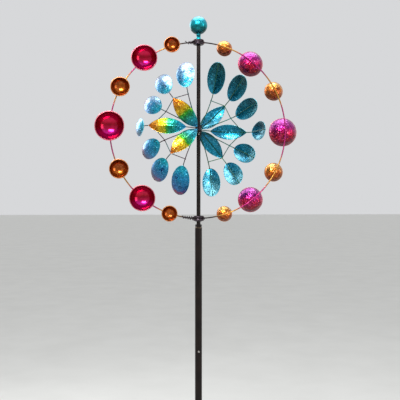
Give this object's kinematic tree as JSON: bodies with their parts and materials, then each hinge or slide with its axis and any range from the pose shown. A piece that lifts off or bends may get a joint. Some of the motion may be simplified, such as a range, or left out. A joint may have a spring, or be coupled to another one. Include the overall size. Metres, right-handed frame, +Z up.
{
  "type": "wind spinner",
  "caption": "Garden wind spinner on a staked pole: an outer ring of wind cups and an inner rotor of domed leaf and petal fans turn freely on one upright spindle under a ball finial.",
  "frame": {"origin": "on the pole's axis at the ground line, where the step bar's underside rests", "axes": "+Z up along the pole; X across the outer ring at rest, +X to the side whose cups open towards +Y"},
  "size_m": [0.6159, 0.205, 1.9114],
  "materials": {
    "bronze_paint": "satin dark bronze powder coat",
    "plain_steel": "zinc plated",
    "plug_metal": "satin bronze, rubbed lighter at the rim",
    "bush_nylon": "black nylon",
    "ring_paint": "satin copper paint with overspray",
    "spoke_paint": "satin dark green paint",
    "magenta_enamel": "glossy metallic magenta",
    "orange_enamel": "glossy metallic amber",
    "leaf_rainbow_enamel": "glossy metallic blend of gold, green and teal",
    "leaf_teal_enamel": "glossy metallic teal",
    "petal_blue_enamel": "glossy metallic blue",
    "teal_enamel": "glossy metallic teal"
  },
  "bodies": {
    "post": {"pole_lower": "bronze_paint", "pole_middle": "bronze_paint", "pole_upper": "bronze_paint", "pole_joint_screws": "plain_steel", "stake_step_bar": "bronze_paint", "stake_spikes": "bronze_paint", "tube_top_plug": "plug_metal", "lock_nut": "bronze_paint", "spindle_rod": "bronze_paint", "thrust_washers": "plain_steel", "stop_collar": "bronze_paint", "stop_set_screw": "plain_steel", "finial_stem": "teal_enamel", "finial_ball": "teal_enamel"},
    "outer_ring": {"ring_arc_left": "ring_paint", "ring_arc_right": "ring_paint", "ring_collar_top": "bronze_paint", "ring_collar_bottom": "bronze_paint", "ring_bushes": "bush_nylon", "ring_splice_coils": "bronze_paint", "cup_left_equator": "magenta_enamel", "cup_left_upper_shoulder": "orange_enamel", "cup_left_upper_crown": "magenta_enamel", "cup_left_upper_collar": "orange_enamel", "cup_left_lower_shoulder": "orange_enamel", "cup_left_lower_crown": "magenta_enamel", "cup_left_lower_collar": "orange_enamel", "cup_right_equator": "magenta_enamel", "cup_right_upper_shoulder": "orange_enamel", "cup_right_upper_crown": "magenta_enamel", "cup_right_upper_collar": "orange_enamel", "cup_right_lower_shoulder": "orange_enamel", "cup_right_lower_crown": "magenta_enamel", "cup_right_lower_collar": "orange_enamel"},
    "inner_rotor": {"rotor_hub": "bronze_paint", "rotor_bush": "bush_nylon", "left_fan_spokes": "spoke_paint", "right_fan_spokes": "spoke_paint", "left_fan_brace": "spoke_paint", "right_fan_brace": "spoke_paint", "left_leaf_upper": "leaf_rainbow_enamel", "left_leaf_middle": "leaf_rainbow_enamel", "left_leaf_lower": "leaf_rainbow_enamel", "right_leaf_upper": "leaf_teal_enamel", "right_leaf_middle": "leaf_teal_enamel", "right_leaf_lower": "leaf_teal_enamel", "left_petal_upper_end": "petal_blue_enamel", "left_petal_upper_outer": "petal_blue_enamel", "left_petal_upper_inner": "petal_blue_enamel", "left_petal_middle": "petal_blue_enamel", "left_petal_lower_inner": "petal_blue_enamel", "left_petal_lower_outer": "petal_blue_enamel", "left_petal_lower_end": "petal_blue_enamel", "right_petal_upper_end": "petal_blue_enamel", "right_petal_upper_outer": "petal_blue_enamel", "right_petal_upper_inner": "petal_blue_enamel", "right_petal_middle": "petal_blue_enamel", "right_petal_lower_inner": "petal_blue_enamel", "right_petal_lower_outer": "petal_blue_enamel", "right_petal_lower_end": "petal_blue_enamel"}
  },
  "joints": [
    {"name": "outer_ring_spin", "type": "hinge", "parent": "post", "child": "outer_ring", "pos_m": [0, 0, 1.37], "axis": [0, 0, 1], "continuous": true},
    {"name": "inner_rotor_spin", "type": "hinge", "parent": "post", "child": "inner_rotor", "pos_m": [0, 0, 1.374], "axis": [0, 0, 1], "continuous": true}
  ]
}
